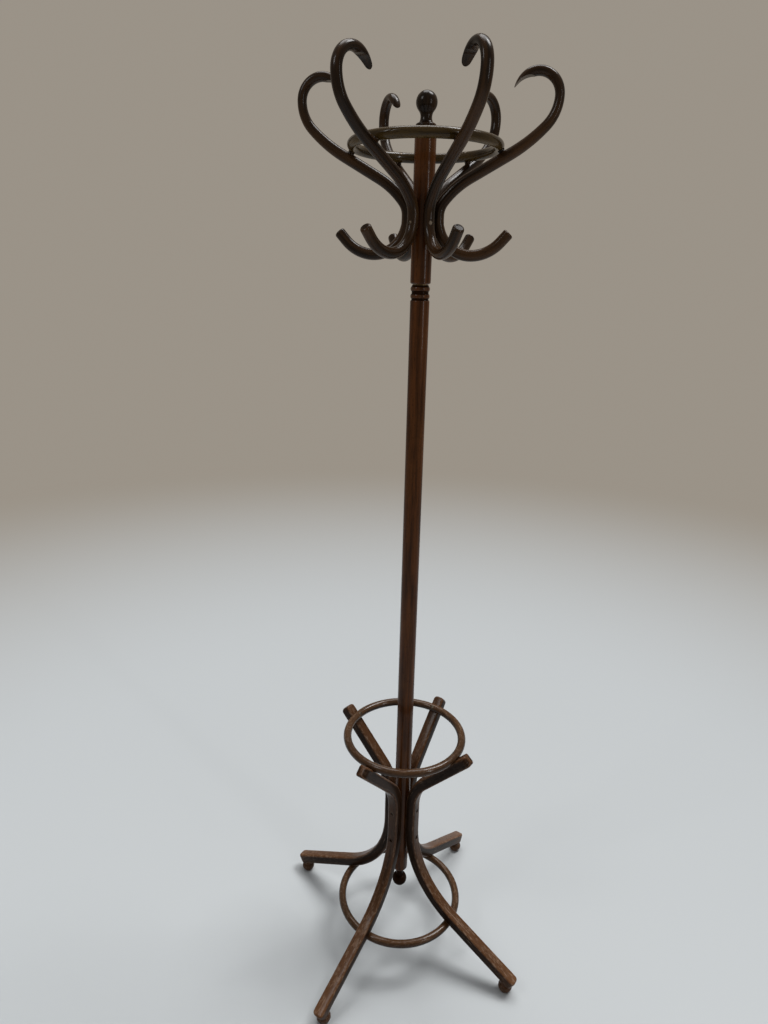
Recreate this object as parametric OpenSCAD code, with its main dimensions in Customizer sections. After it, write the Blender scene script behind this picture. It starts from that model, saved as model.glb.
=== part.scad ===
// Bentwood coat rack with a turning crown: six bent arms tied by a ring, a turned post,
// four bent legs, an umbrella ring and a lower ring. Millimetres, +Z up.
// The origin is on the floor, on the axis of the post.

/* [Post] */
// Diameter of the lower post
post_d = 36; // [30:1:42]
// Diameter of the turning upper post
hub_d = 38; // [34:1:44]
// Height of the top of the lower post, where the crown turns
joint_z = 1557.5; // [1400:0.5:1650]
// Length of the upper post
hub_h = 255.5; // [240:0.5:320]
// Height of a bead below the joint
bead_h = 13; // [8:0.5:16]
// Number of beads below the joint
bead_n = 2; // [1:1:4]
// Roundness of a bead, as the radius of its flanks
bead_r = 6; // [4.5:0.5:8]
// Depth of the grooves between the beads
groove_depth = 2.2; // [1:0.1:3]
// Rounding at the upper end of the plain post, below the beads
shoulder_r = 3; // [1:0.5:6]
// Chamfer at the lower end of the upper post
joint_chamfer = 2.6; // [1:0.1:4]
// Height of the middle of the ball under the post
drop_z = 150; // [142:1:165]
// Diameter of the ball under the post
drop_d = 35; // [28:1:40]
// Diameter of the neck above that ball
drop_neck_d = 16; // [12:1:22]
// Height of that neck above the middle of the ball
drop_neck_h = 23; // [21:0.5:26]
// Length of the hollow between the neck and the full post
drop_stem_h = 10; // [6:0.5:14]
// Rounding at the lower end of the full post
post_end_r = 9; // [4:0.5:12]

/* [Finial] */
// Diameter of the ball on top
finial_d = 37; // [30:1:42]
// Height of the middle of the ball above the upper post
finial_h = 39; // [36:0.5:48]
// Diameter of the neck under the ball
finial_neck_d = 20; // [14:1:24]
// Height of the narrowest place of the neck above the upper post
finial_neck_h = 16.5; // [15:0.5:20]
// Diameter of the collar on the upper post
collar_d = 36; // [30:1:42]
// Thickness of the collar
collar_t = 7; // [5:0.5:10]
// Diameter of the spigot inside the upper post
spigot_d = 14; // [10:1:18]
// Length of the spigot inside the upper post
spigot_h = 30; // [15:1:45]

/* [Swivel] */
// Diameter of the steel spindle that the crown turns on
spindle_d = 12; // [8:1:16]
// Length of the spindle inside the lower post
spindle_low = 80; // [50:5:120]
// Length of the spindle inside the upper post
spindle_high = 62; // [40:1:75]
// Diameter of the thrust washer
washer_d = 29; // [22:1:30]
// Thickness of the thrust washer
washer_t = 1.6; // [1:0.1:3]

/* [Arms] */
// Diameter of an arm rod
arm_d = 20; // [16:1:22]
// Thickness of the rod in its curl, where it is shaved before bending
curl_t = 16; // [12:0.5:18]
// Depth that an arm is coped over the upper post
arm_cope = 0.8; // [0.3:0.1:1.5]
// Direction of the first arm, seen from above
arm_first = 39; // [0:0.5:60]
// Height of the arm screws above the joint
arm_seat_z = 115; // [100:0.5:130]
// Length of rod that runs straight against the upper post
arm_seat_h = 6; // [4:1:24]
// Slope of the straight rise between the post and the curl
arm_slope = 29; // [22:0.5:40]
// Bend radius where the rod leaves the post upwards
arm_bend_r = 38; // [30:1:70]
// Turn of that bend
arm_bend_turn = 38; // [25:1:45]
// Radius of the slack bend that runs on into the straight rise
arm_ease_r = 145; // [60:5:200]
// Length of the straight rise
arm_rise = 77; // [68:1:110]
// Radius of the slack bend between the straight rise and the curl
curl_ease_r = 246; // [150:2:300]
// Turn of that slack bend
curl_ease_turn = 16; // [8:1:22]
// Bend radius of the outer side of the curl
curl_outer_r = 63; // [50:1:90]
// Bend radius of the top of the curl
curl_top_r = 37; // [32:1:48]
// Bend radius of the inner side of the curl
curl_inner_r = 31; // [28:1:40]
// Turn of the inner side of the curl
curl_turn = 79; // [45:1:95]
// Length of the oblique cut that feathers the tip
feather_l = 36; // [20:1:40]
// Bend radius where the rod leaves the post downwards
hook_bend_r = 60; // [45:1:65]
// Bend radius of the upturned side of the lower hook
hook_up_r = 70; // [60:1:110]
// Turn of the upturned side of the lower hook
hook_turn = 48; // [30:1:60]
// Length of the straight end of the lower hook
hook_end = 21; // [8:1:30]

/* [Legs] */
// Width of a leg
leg_w = 26; // [22:1:28]
// Thickness of a leg in its bending plane
leg_t = 25; // [20:1:28]
// Radius of the long edges of a leg
leg_round = 5; // [3:0.5:7]
// Easing of the edges at both ends of a leg
leg_end_r = 3.5; // [1:0.5:4.5]
// Depth that a leg is coped over the lower post
leg_cope = 0.6; // [0.3:0.1:1.5]
// Height of the underside of a leg over the middle of its foot bun
leg_clear = 25; // [20:0.5:32]
// Length of the straight seat of a leg on the post
leg_seat_h = 70; // [50:1:90]
// Bend radius between the seat and the foot
leg_low_r = 232; // [200:1:245]
// Slope of the foot part of a leg
leg_fall = 28; // [26:0.5:31]
// Distance of the foot end of a leg from the axis
leg_reach = 320; // [300:1:345]
// Bend radius between the seat and the upper end
leg_high_r = 110; // [95:1:140]
// Slope of the upper part of a leg
leg_climb = 47; // [42:1:52]
// Length of the straight upper part of a leg
leg_top = 157; // [145:1:175]
// Distance of the foot buns from the foot end of a leg
bun_inset = 20; // [17:1:35]
// Diameter of a foot bun
bun_d = 32; // [26:1:38]
// Radius of the round side of a foot bun
bun_side_r = 11.5; // [8:0.5:13]
// Diameter of the flat under a foot bun
bun_flat_d = 24; // [18:1:26]
// Diameter of the dowel of a foot bun
bun_dowel_d = 10; // [8:1:12]
// Length of that dowel inside the leg
bun_dowel_h = 14; // [8:1:16]

/* [Rings] */
// Diameter of the rod of all three rings
ring_d = 18; // [14:1:20]
// Radius of the crown ring, to the middle of its rod
crown_ring_r = 127; // [110:1:145]
// Radius of the umbrella ring, to the middle of its rod
umbrella_ring_r = 131; // [110:1:138]
// Radius of the lower ring, to the middle of its rod
lower_ring_r = 142; // [136:1:160]
// Depth of the seats in the legs for the two lower rings
ring_seat = 1.5; // [0.5:0.1:2.5]
// Thickness of the spacers between the crown ring and the arms
spacer_t = 2; // [1.5:0.5:10]
// Diameter of those spacers
spacer_d = 12; // [10:0.5:14]

/* [Screws] */
// Shank diameter of all wood screws
screw_d = 4; // [3:0.5:5]
// Head diameter of all wood screws
screw_head_d = 8; // [7:0.5:10]
// Length of the screws that hold the arms
arm_screw_l = 28; // [24:1:30]
// Length of the screws that hold the legs
leg_screw_l = 34; // [30:1:36]
// Length of the screws that hold the rings
ring_screw_l = 32; // [30:1:34]
// Depth of the screw heads below the rods of the arms
arm_screw_sink = 0.8; // [0.3:0.1:2]
// Depth of the screw heads below the outer faces of the legs
leg_screw_sink = 1.5; // [0.5:0.1:3]
// Depth of the screw heads below the rods of the rings
ring_screw_sink = 0.5; // [0.3:0.1:2]
// Distance of the arm screws below the middle of their seats
arm_screw_drop = 11; // [0:1:16]
// Distance of the lower leg screw below the straight seat
leg_screw_drop = 22; // [8:1:24]
// Distance between the two screws of a leg
leg_screw_gap = 78; // [40:1:90]

/* [Hidden] */

$fn = 64;
arm_n = 6;            // arms round the crown
leg_n = 4;            // legs round the post
leg_first = 45;       // direction of the first leg
fit = 0.05;           // radial clearance of fitted pieces
run_gap = 0.3;        // running clearance under the upper post
over = 1;             // how far a cutting tool runs past a face

stain = [0.20, 0.11, 0.07];
stain_warm = [0.30, 0.16, 0.09];
stain_worn = [0.38, 0.23, 0.14];
steel = [0.62, 0.61, 0.60];
brass = [0.72, 0.57, 0.30];

post_r = post_d / 2;
hub_r = hub_d / 2;
ring_r = ring_d / 2;
hub_z = joint_z + washer_t + run_gap;      // underside of the upper post
hub_top = hub_z + hub_h;
arm_z = joint_z + arm_seat_z;
arm_r0 = hub_r + arm_d / 2 - arm_cope;      // middle of an arm on its seat
leg_r0 = post_r + leg_t / 2 - leg_cope;     // middle of a leg on its seat
arm_dirs = [for (i = [0 : arm_n - 1]) arm_first + i * 360 / arm_n];
leg_dirs = [for (i = [0 : leg_n - 1]) leg_first + i * 360 / leg_n];

// ---- Bent paths in the radial plane: [distance from the axis, height] ----
// A run is [radius, turn, steps]; a radius of 0 makes it straight, and turn is then its length.
// A station is [point, heading].

function left_of(a) = [-sin(a), cos(a)];
function ahead(a) = [cos(a), sin(a)];
function station_on(p, a, run, t) =
    run[0] == 0 ? [p + run[1] * t * ahead(a), a]
    : let (side = sign(run[1]), b = a + run[1] * t, mid = p + run[0] * side * left_of(a))
      [mid - run[0] * side * left_of(b), b];
function stations(p, a, runs, i = 0) =
    i == len(runs) ? [[p, a]]
    : let (run = runs[i], end = station_on(p, a, run, 1))
      concat([for (k = [0 : run[2] - 1]) station_on(p, a, run, k / run[2])],
             stations(end[0], end[1], runs, i + 1));
function turned_back(list) = [for (i = [len(list) - 1 : -1 : 1]) [list[i][0], list[i][1] + 180]];
function way(list, i = 0, sum = 0) =
    i == len(list) - 1 ? [sum]
    : concat([sum], way(list, i + 1, sum + norm(list[i + 1][0] - list[i][0])));

// A solid swept along stations, with one outline of [sideways, towards the left] per station
module swept(list, outlines) {
    n = len(outlines[0]);
    last = len(list) - 1;
    points = [for (i = [0 : last]) let (p = list[i][0], l = left_of(list[i][1]))
              for (q = outlines[i]) [p[0] + q[1] * l[0], q[0], p[1] + q[1] * l[1]]];
    walls = [for (i = [0 : last - 1]) for (k = [0 : n - 1])
             let (a = i * n + k, b = i * n + (k + 1) % n)
             for (face = [[a, a + n, b], [b, a + n, b + n]]) face];
    caps = [[for (k = [0 : n - 1]) k], [for (k = [n - 1 : -1 : 0]) last * n + k]];
    polyhedron(points, concat(walls, caps), convexity = 6);
}

// ---- Arm ----
arm_sides = 16;
arm_start_up = [arm_r0, arm_z + arm_seat_h / 2];
arm_start_down = [arm_r0, arm_z - arm_seat_h / 2];
arm_end_r = 2;         // easing of the edge at the end of the lower hook
tip_t = 0.9;           // thickness left at the feathered tip
arm_ease_turn = 90 - arm_slope - arm_bend_turn;
curl_outer_turn = 90 - arm_slope - curl_ease_turn;

arm_up = stations(arm_start_up, 90,
    [[arm_bend_r, -arm_bend_turn, 5], [arm_ease_r, -arm_ease_turn, 3], [0, arm_rise, 1],
     [curl_ease_r, curl_ease_turn, 3], [curl_outer_r, curl_outer_turn, 5],
     [curl_top_r, 90, 9], [curl_inner_r, curl_turn, 9]]);
arm_down = stations(arm_start_down, 270,
    [[hook_bend_r, 90, 9], [hook_up_r, hook_turn, 5], [0, hook_end - arm_end_r, 1],
     [0, arm_end_r, 1]]);
arm_line = concat(turned_back(arm_down), [arm_down[0] + [[0, 0], -180]], arm_up);
arm_way = way(arm_line);
arm_l = arm_way[len(arm_way) - 1];
thin_l = (curl_ease_r * curl_ease_turn + curl_outer_r * curl_outer_turn) * PI / 180;
curl_l = thin_l + (curl_top_r * 90 + curl_inner_r * curl_turn) * PI / 180;

// Round rod, thinned evenly along the outer side of the curl, then cut obliquely to the tip
function arm_half(left) =
    let (t = min(1, max(0, (curl_l - left) / thin_l))) (arm_d + (curl_t - arm_d) * t) / 2;
function arm_cut(left) =
    let (half = arm_half(left))
    left > feather_l ? half : tip_t - half + (2 * half - tip_t) * left / feather_l;
function arm_outline(left, ease) =
    let (a = arm_d / 2 - ease, b = arm_half(left) - ease, c = min(arm_cut(left), b),
         low = min(0, c), phi = asin(low / b), w = a * cos(phi))
    [for (k = [0 : arm_sides - 1]) let (t = 360 * k / arm_sides)
     t <= 180 ? [w * cos(t), low < 0 ? low : min(b * sin(t), c)]
     : let (s = 180 - phi + (t - 180) * (180 + 2 * phi) / 180) [a * cos(s), b * sin(s)]];
arm_outlines = [for (i = [0 : len(arm_line) - 1]) arm_outline(arm_l - arm_way[i], i == 0 ? arm_end_r : 0)];

// ---- Places on the straight rise of an arm ----
arm_bend_end = station_on(arm_start_up, 90, [arm_bend_r, -arm_bend_turn], 1);
arm_rise_start = station_on(arm_bend_end[0], arm_bend_end[1], [arm_ease_r, -arm_ease_turn], 1)[0];
crown_off = arm_d / 2 + spacer_t + ring_r;      // rod of the arm to rod of the ring
crown_at = (crown_ring_r + crown_off * sin(arm_slope) - arm_rise_start[0]) / cos(arm_slope);
crown_foot = arm_rise_start + crown_at * ahead(arm_slope);
crown_ring_z = crown_foot[1] + crown_off * cos(arm_slope);

// ---- Leg ----
bun_r = leg_reach - bun_inset;                  // middle of a foot bun to the axis
leg_low_r0 = leg_r0 + leg_low_r * (1 - sin(leg_fall));      // start of the straight foot part
leg_seat_z = leg_clear + leg_t / 2 / cos(leg_fall) + (bun_r - leg_low_r0) * tan(leg_fall)
           + leg_low_r * cos(leg_fall);         // start of the straight seat
leg_start_up = [leg_r0, leg_seat_z + leg_seat_h];
leg_start_down = [leg_r0, leg_seat_z];
leg_low_end = station_on(leg_start_down, 270, [leg_low_r, 90 - leg_fall], 1)[0];
leg_high_end = station_on(leg_start_up, 90, [leg_high_r, leg_climb - 90], 1)[0];
leg_foot_l = (leg_reach - leg_low_end[0]) / cos(leg_fall);
leg_up = stations(leg_start_up, 90,
    [[leg_high_r, leg_climb - 90, 7], [0, leg_top - leg_end_r, 1], [0, leg_end_r, 1]]);
leg_down = stations(leg_start_down, 270,
    [[leg_low_r, 90 - leg_fall, 10], [0, leg_foot_l - leg_end_r, 1], [0, leg_end_r, 1]]);
leg_line = concat(turned_back(leg_down), [leg_down[0] + [[0, 0], -180]], leg_up);
leg_corner_steps = 3;
// Rounded square, eased by an amount all round
function leg_outline(ease) =
    let (r = leg_round - ease / 2)
    [for (q = [0 : 3]) for (k = [0 : leg_corner_steps])
     let (t = q * 90 + k * 90 / leg_corner_steps, sx = q == 0 || q == 3 ? 1 : -1, sy = q < 2 ? 1 : -1)
     [sx * (leg_w / 2 - ease - r) + r * cos(t), sy * (leg_t / 2 - ease - r) + r * sin(t)]];
leg_last = len(leg_line) - 1;
leg_outlines = [for (i = [0 : leg_last]) leg_outline(i == 0 || i == leg_last ? leg_end_r : 0)];

// ---- Places on the straight parts of a leg ----
leg_off = leg_t / 2 + ring_r - ring_seat;       // middle of the leg to middle of a ring rod
umbrella_foot_r = umbrella_ring_r + leg_off * sin(leg_climb);
umbrella_ring_z = leg_high_end[1] + (umbrella_foot_r - leg_high_end[0]) * tan(leg_climb)
                + leg_off * cos(leg_climb);
lower_foot_r = lower_ring_r + leg_off * sin(leg_fall);
lower_ring_z = leg_low_end[1] - (lower_foot_r - leg_low_end[0]) * tan(leg_fall)
             - leg_off * cos(leg_fall);
leg_screw_z = [leg_seat_z - leg_screw_drop, leg_seat_z - leg_screw_drop + leg_screw_gap];
leg_screw_r = leg_r0 + leg_t / 2 - leg_screw_sink;
arm_screw_r = arm_r0 + arm_d / 2 - arm_screw_sink;

// ---- Shared shapes ----
module around(dirs) { for (a = dirs) rotate([0, 0, a]) children(); }

// Countersunk wood screw; the head is at the origin and the tip points down
module screw(l, grow = 0) {
    r = screw_d / 2 + grow;
    head_r = screw_head_d / 2 + grow;
    lip = 0.6;
    point = 5;
    rotate_extrude() polygon([[0, 0], [head_r, 0], [head_r, -lip], [r, -lip - head_r + r],
                              [r, point - l - grow], [0, -l - grow]]);
}

// The hole that a screw needs, opened out to the surface
module screw_hole(l, open = 3) {
    screw(l, fit);
    cylinder(h = open, r = screw_head_d / 2 + fit);
}

module ring(r, z, grow = 0) {
    translate([0, 0, z]) rotate_extrude($fn = 96) translate([r, 0]) circle(r = ring_r + grow, $fn = 32);
}

module at_arm_screw() { translate([arm_screw_r, 0, arm_z - arm_screw_drop]) rotate([0, 90, 0]) children(); }

module at_leg_screws() {
    for (z = leg_screw_z) translate([leg_screw_r, 0, z]) rotate([0, 90, 0]) children();
}

module at_crown_screw() {
    translate([crown_ring_r, 0, crown_ring_z]) rotate([0, -arm_slope, 0])
        translate([0, 0, ring_r - ring_screw_sink]) children();
}

module at_umbrella_screw() {
    translate([umbrella_ring_r, 0, umbrella_ring_z]) rotate([0, -leg_climb, 0])
        translate([0, 0, ring_r - ring_screw_sink]) children();
}

module at_lower_screw() {
    translate([lower_ring_r, 0, lower_ring_z]) rotate([0, 180 + leg_fall, 0])
        translate([0, 0, ring_r - ring_screw_sink]) children();
}

// Radius of the hollow that runs smoothly from a neck into a ball
function cove_r(ball_r, neck_r, h) = (h * h + neck_r * neck_r - ball_r * ball_r) / (2 * (ball_r - neck_r));

// Half outline of a ball on a necked stem; the ball is at height h from the start of the stem
module necked_ball(ball_r, neck_r, neck_h, h, stem_r) {
    rho = cove_r(ball_r, neck_r, h - neck_h);
    touch = h - ball_r * (h - neck_h) / (ball_r + rho);
    intersection() {
        translate([0, h]) circle(r = ball_r);
        translate([0, h - ball_r - over]) square([ball_r + over, 2 * (ball_r + over)]);
    }
    difference() {
        square([stem_r, touch]);
        translate([neck_r + rho, neck_h]) circle(r = rho);
    }
}

// ---- Pieces of the stand ----
module post_outline() {
    core_r = post_r - groove_depth;
    foot = drop_z + drop_neck_h + drop_stem_h;      // lower end of the full post
    head = joint_z - bead_n * bead_h;               // upper end of the full post
    // full post, rounded at both ends
    low = foot + post_end_r;
    high = head - shoulder_r;
    translate([0, foot]) square([post_r - post_end_r, head - foot]);
    translate([0, low]) square([post_r, high - low]);
    translate([post_r - post_end_r, low]) circle(r = post_end_r);
    translate([0, low]) square([post_r - shoulder_r, head - low]);
    translate([post_r - shoulder_r, high]) circle(r = shoulder_r);
    translate([0, head - over]) square([core_r, joint_z - head + over]);
    for (i = [1 : bead_n]) translate([post_r - bead_r, joint_z - (i - 0.5) * bead_h]) circle(r = bead_r);
    translate([0, foot]) mirror([0, 1])
        necked_ball(drop_d / 2, drop_neck_d / 2, drop_stem_h, foot - drop_z, post_r - post_end_r + over);
}

module post_lower() {
    color(stain_warm) difference() {
        rotate_extrude() post_outline();
        translate([0, 0, joint_z - spindle_low - fit])
            cylinder(h = spindle_low + over + fit, r = spindle_d / 2 + fit);
        around(leg_dirs) at_leg_screws() screw(leg_screw_l, fit);
    }
}

module leg(dir) {
    color(stain_warm) difference() {
        rotate([0, 0, dir]) swept(leg_line, leg_outlines);
        translate([0, 0, leg_seat_z - leg_low_r / 2])
            cylinder(h = leg_seat_h + leg_low_r, r = post_r + fit);
        ring(umbrella_ring_r, umbrella_ring_z, fit);
        ring(lower_ring_r, lower_ring_z, fit);
        rotate([0, 0, dir]) {
            at_leg_screws() screw_hole(leg_screw_l);
            at_umbrella_screw() screw(ring_screw_l, fit);
            at_lower_screw() screw(ring_screw_l, fit);
            translate([bun_r, 0, leg_clear - leg_t / 2])
                cylinder(h = leg_t / 2 + bun_dowel_h + fit, r = bun_dowel_d / 2 + fit);
        }
    }
}

module leg_screws() { color(steel) around(leg_dirs) at_leg_screws() screw(leg_screw_l); }

module umbrella_ring() {
    color(stain_worn) difference() {
        ring(umbrella_ring_r, umbrella_ring_z);
        around(leg_dirs) at_umbrella_screw() screw_hole(ring_screw_l);
    }
}

module umbrella_ring_screws() { color(steel) around(leg_dirs) at_umbrella_screw() screw(ring_screw_l); }

module lower_ring() {
    color(stain_worn) difference() {
        ring(lower_ring_r, lower_ring_z);
        around(leg_dirs) at_lower_screw() screw_hole(ring_screw_l);
    }
}

module lower_ring_screws() { color(steel) around(leg_dirs) at_lower_screw() screw(ring_screw_l); }

// Turned feet with a dowel; their tops follow the slope of the legs
module foot_buns() {
    color(stain_worn) around(leg_dirs) translate([bun_r, 0, 0]) {
        difference() {
            rotate_extrude() {
                intersection() {
                    translate([bun_d / 2 - bun_side_r, bun_side_r]) circle(r = bun_side_r);
                    square([bun_d / 2, 2 * bun_side_r]);
                }
                square([bun_flat_d / 2, leg_clear + bun_d / 2]);
            }
            translate([0, 0, leg_clear - fit / cos(leg_fall)]) rotate([0, leg_fall, 0])
                translate([-bun_d, -bun_d, 0]) cube([2 * bun_d, 2 * bun_d, bun_d]);
        }
        translate([0, 0, leg_clear - leg_t / 4])
            cylinder(h = leg_t / 4 + bun_dowel_h, r = bun_dowel_d / 2);
    }
}

module spindle() {
    color(steel) translate([0, 0, joint_z - spindle_low])
        cylinder(h = spindle_low + hub_z - joint_z + spindle_high, r = spindle_d / 2);
}

module thrust_washer() {
    color(brass) translate([0, 0, joint_z]) difference() {
        cylinder(h = washer_t, r = washer_d / 2);
        translate([0, 0, -over]) cylinder(h = washer_t + 2 * over, r = spindle_d / 2 + fit);
    }
}

// ---- Pieces of the crown ----
module post_upper() {
    color(stain_warm) difference() {
        translate([0, 0, hub_z]) rotate_extrude()
            polygon([[0, 0], [hub_r - joint_chamfer, 0], [hub_r, joint_chamfer], [hub_r, hub_h], [0, hub_h]]);
        translate([0, 0, hub_z - over]) cylinder(h = spindle_high + over + fit, r = spindle_d / 2 + fit);
        translate([0, 0, hub_top - spigot_h - fit])
            cylinder(h = spigot_h + over + fit, r = spigot_d / 2 + fit);
        around(arm_dirs) at_arm_screw() screw(arm_screw_l, fit);
    }
}

module finial() {
    edge = collar_t / 2;
    color(stain) translate([0, 0, hub_top]) {
        rotate_extrude() {
            square([collar_d / 2 - edge, collar_t]);
            intersection() {
                translate([collar_d / 2 - edge, edge]) circle(r = edge);
                square([collar_d / 2, collar_t]);
            }
            necked_ball(finial_d / 2, finial_neck_d / 2, finial_neck_h, finial_h, collar_d / 2 - edge);
        }
        translate([0, 0, -spigot_h]) cylinder(h = spigot_h + over, r = spigot_d / 2);
    }
}

module coat_arm(dir) {
    color(stain) difference() {
        rotate([0, 0, dir]) swept(arm_line, arm_outlines);
        translate([0, 0, arm_z - arm_bend_r]) cylinder(h = 2 * arm_bend_r, r = hub_r + fit);
        rotate([0, 0, dir]) {
            at_arm_screw() screw_hole(arm_screw_l);
            at_crown_screw() screw(ring_screw_l, fit);
        }
    }
}

module arm_screws() { color(steel) around(arm_dirs) at_arm_screw() screw(arm_screw_l); }

module crown_ring() {
    color(stain) difference() {
        ring(crown_ring_r, crown_ring_z);
        around(arm_dirs) at_crown_screw() screw_hole(ring_screw_l);
    }
}

// Short turned spacers, hollowed at both ends to sit on the rods
module ring_spacers() {
    wrap = 2.5;      // how far the hollow ends reach round the rods
    color(stain) difference() {
        around(arm_dirs) translate([crown_foot[0], 0, crown_foot[1]]) rotate([0, -arm_slope, 0])
            difference() {
                translate([0, 0, arm_d / 2 - wrap])
                    cylinder(h = spacer_t + 2 * wrap, r = spacer_d / 2, $fn = 32);
                rotate([0, 90, 0]) cylinder(h = 4 * arm_d, r = arm_d / 2 + fit, center = true);
                cylinder(h = 4 * arm_d, r = screw_d / 2 + fit);
            }
        ring(crown_ring_r, crown_ring_z, fit);
    }
}

module crown_ring_screws() { color(steel) around(arm_dirs) at_crown_screw() screw(ring_screw_l); }

post_lower();
post_upper();
finial();
spindle();
thrust_washer();
coat_arm(arm_dirs[0]);  // coat_arm_1
coat_arm(arm_dirs[1]);  // coat_arm_2
coat_arm(arm_dirs[2]);  // coat_arm_3
coat_arm(arm_dirs[3]);  // coat_arm_4
coat_arm(arm_dirs[4]);  // coat_arm_5
coat_arm(arm_dirs[5]);  // coat_arm_6
arm_screws();
crown_ring();
ring_spacers();
crown_ring_screws();
leg(leg_dirs[0]);  // leg_back_right
leg(leg_dirs[1]);  // leg_back_left
leg(leg_dirs[2]);  // leg_front_left
leg(leg_dirs[3]);  // leg_front_right
leg_screws();
umbrella_ring();
umbrella_ring_screws();
lower_ring();
lower_ring_screws();
foot_buns();
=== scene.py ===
import bmesh
import bpy
import math
from mathutils import Matrix, Vector


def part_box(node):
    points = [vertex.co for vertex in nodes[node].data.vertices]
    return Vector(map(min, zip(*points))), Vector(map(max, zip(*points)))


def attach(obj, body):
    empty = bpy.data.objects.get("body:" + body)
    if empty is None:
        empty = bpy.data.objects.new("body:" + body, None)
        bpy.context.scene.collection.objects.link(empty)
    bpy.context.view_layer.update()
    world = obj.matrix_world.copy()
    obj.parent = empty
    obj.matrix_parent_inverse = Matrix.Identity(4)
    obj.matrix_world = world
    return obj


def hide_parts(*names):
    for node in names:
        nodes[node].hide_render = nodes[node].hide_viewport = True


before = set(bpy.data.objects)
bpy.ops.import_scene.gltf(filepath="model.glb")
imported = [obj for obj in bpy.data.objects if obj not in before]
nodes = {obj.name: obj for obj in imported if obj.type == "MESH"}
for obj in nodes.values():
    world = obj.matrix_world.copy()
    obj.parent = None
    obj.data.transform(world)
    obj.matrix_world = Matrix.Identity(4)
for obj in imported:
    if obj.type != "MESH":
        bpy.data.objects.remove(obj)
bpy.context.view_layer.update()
print("frame loaded:", len(nodes), "pieces from the workshop model")

# the view: standing in front of the rack, a little left of its middle, looking slightly down
camera = {"distance": 1.33645, "height": 1.56815, "azimuth": -103.311, "yaw": -2.4916,
          "pitch": -18.7683, "roll": 1.2271, "focal": 24.167, "sensor": 36, "near": 0.05, "far": 100}


def placeCamera(spec):
    lens = bpy.data.cameras.new("rackCamera")
    lens.lens, lens.sensor_width, lens.sensor_fit = spec["focal"], spec["sensor"], "AUTO"
    lens.clip_start, lens.clip_end = spec["near"], spec["far"]
    eye = bpy.data.objects.new("rackCamera", lens)
    bpy.context.scene.collection.objects.link(eye)
    around = math.radians(spec["azimuth"])
    spot = Vector((math.cos(around), math.sin(around), 0)) * spec["distance"]
    spot.z = spec["height"]
    turn = Matrix.Rotation(math.radians(spec["azimuth"] + 90 - spec["yaw"]), 4, "Z")
    tilt = Matrix.Rotation(math.radians(90 + spec["pitch"]), 4, "X")
    lean = Matrix.Rotation(math.radians(spec["roll"]), 4, "Z")
    eye.matrix_world = Matrix.Translation(spot) @ turn @ tilt @ lean
    bpy.context.scene.camera = eye


placeCamera(camera)


# finishes: every stain is mixed from the same steps, with its own colours
def nodeMaker(owner):
    owner.use_nodes = True
    tree = owner.node_tree
    tree.nodes.clear()

    def add(kind, inputs=None, **settings):
        made = tree.nodes.new(kind)
        for key, value in settings.items():
            setattr(made, key, value)
        for key, value in (inputs or {}).items():
            if isinstance(value, bpy.types.NodeSocket):
                tree.links.new(value, made.inputs[key])
            else:
                made.inputs[key].default_value = value
        return made

    return add


def mathStep(add, operation, a, b=0.0, clamp=False):
    return add("ShaderNodeMath", {0: a, 1: b}, operation=operation, use_clamp=clamp).outputs[0]


def blendColour(add, share, a, b):
    return add("ShaderNodeMix", {0: share, 6: a, 7: b}, data_type="RGBA").outputs[2]


def softStep(add, value, low, high, top=1.0):
    return add("ShaderNodeMapRange", {0: value, 1: low, 2: high, 3: 0.0, 4: top},
               interpolation_type="SMOOTHSTEP").outputs[0]


def noise(add, vector, scale, detail=4.0, roughness=0.55, distortion=0.0):
    return add("ShaderNodeTexNoise", {"Vector": vector, "Scale": scale, "Detail": detail,
                                      "Roughness": roughness, "Distortion": distortion}).outputs[0]


def stretched(add, vector, scale, turn=(0, 0, 0)):
    return add("ShaderNodeMapping", {0: vector, 2: turn, 3: scale}).outputs[0]


hoopRadius = 0.135      # about the radius of all three rings


def woodPlace(add, way):
    # the place in the wood in metres, with the grain along Z
    if way == "bent":      # as the rod lay before it was bent
        return add("ShaderNodeAttribute", attribute_name="straightWood").outputs["Vector"]
    place = add("ShaderNodeTexCoord").outputs["Object"]
    if way == "turned":
        return place
    apart = add("ShaderNodeSeparateXYZ", {0: place}).outputs      # a ring, with the grain round it
    around = mathStep(add, "MULTIPLY", mathStep(add, "ARCTAN2", apart[1], apart[0]), hoopRadius)
    out = add("ShaderNodeVectorMath", {0: place, 1: (1, 1, 0)}, operation="MULTIPLY").outputs[0]
    reach = add("ShaderNodeVectorMath", {0: out}, operation="LENGTH").outputs["Value"]
    return add("ShaderNodeCombineXYZ", {0: reach, 1: apart[2], 2: around}).outputs[0]


# marks in the wood: the share of their scale along the grain, then scale, detail, roughness and distortion
grain = {"figure": (0.06, 110, 7, 0.6, 0.3), "fleck": (0.14, 900, 2, 0.5), "cloud": (0.45, 15, 3, 0.5),
         "pits": (0.4, 230, 5, 0.65), "nicks": (0.035, 480, 3, 0.6)}
nickTurn = (0.32, 0.2, 0)      # nicks run a little across the grain
# where in a mark's range a colour starts and is full, and how strong it gets where that is less than 1
starts = {"warm": (0.36, 0.66), "glow": (0.45, 0.7), "pore": (0.58, 0.7, 0.6), "rubbed": (0.5, 0.62),
          "nicks": (0.64, 0.69), "nickPatch": (0.44, 0.58)}
# the last keys also set how dark and dull the pooled stain and the painted shade make the wood
surface = {"figureRough": 0.14, "rubbedRough": 0.35, "figureRise": 0.8, "fleckRise": -0.2, "rubbedDip": 0.5,
           "relief": 0.0005, "poolAndShadeDark": 0.9, "poolAndShadeDull": 0.8, "coatRough": 0.08, "index": 1.5}


def mark(add, place, kind, turn=(0, 0, 0)):
    drawnOut, *kindOfNoise = grain[kind]
    return noise(add, stretched(add, place, (1, 1, drawnOut), turn), *kindOfNoise)


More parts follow.
